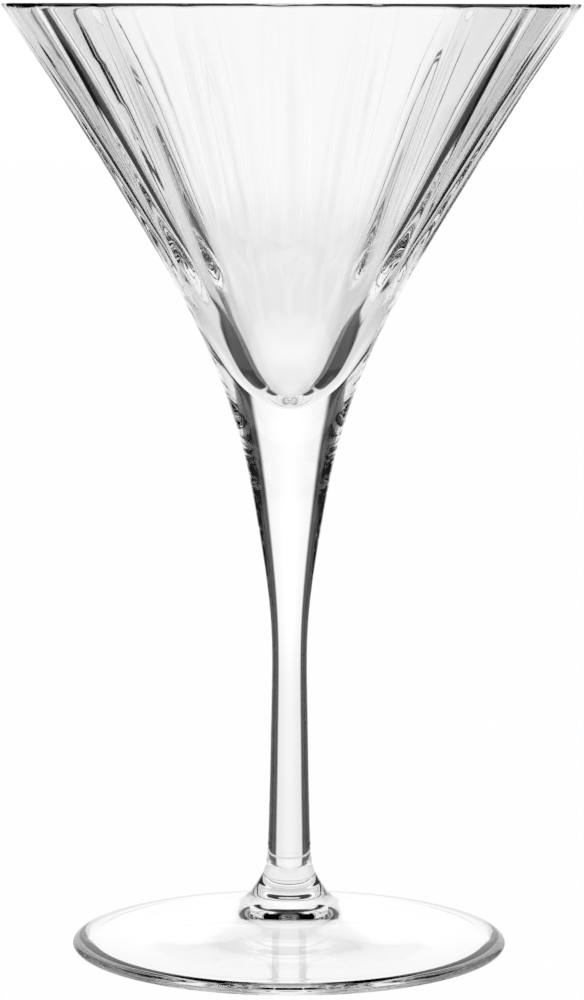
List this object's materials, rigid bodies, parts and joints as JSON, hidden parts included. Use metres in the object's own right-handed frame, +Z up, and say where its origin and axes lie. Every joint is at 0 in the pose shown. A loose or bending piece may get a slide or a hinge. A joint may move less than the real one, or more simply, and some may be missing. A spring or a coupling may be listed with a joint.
{
  "type": "martini glass",
  "caption": "Clear stemmed cocktail glass: a wide conical bowl fluted inside and out, a slender drawn stem, a small collar and a round domed foot.",
  "frame": {"origin": "centre of the underside of the foot, on the plane that the glass stands on", "axes": "+Z up along the axis of the glass; a ridge between two of the outside flutes faces -Y; +X to the right"},
  "size_m": [0.1123, 0.1122, 0.1855],
  "materials": {
    "clear_glass": "clear, fire polished"
  },
  "bodies": {
    "root": {"bowl": "clear_glass", "stem": "clear_glass", "collar": "clear_glass", "foot": "clear_glass"}
  },
  "joints": []
}
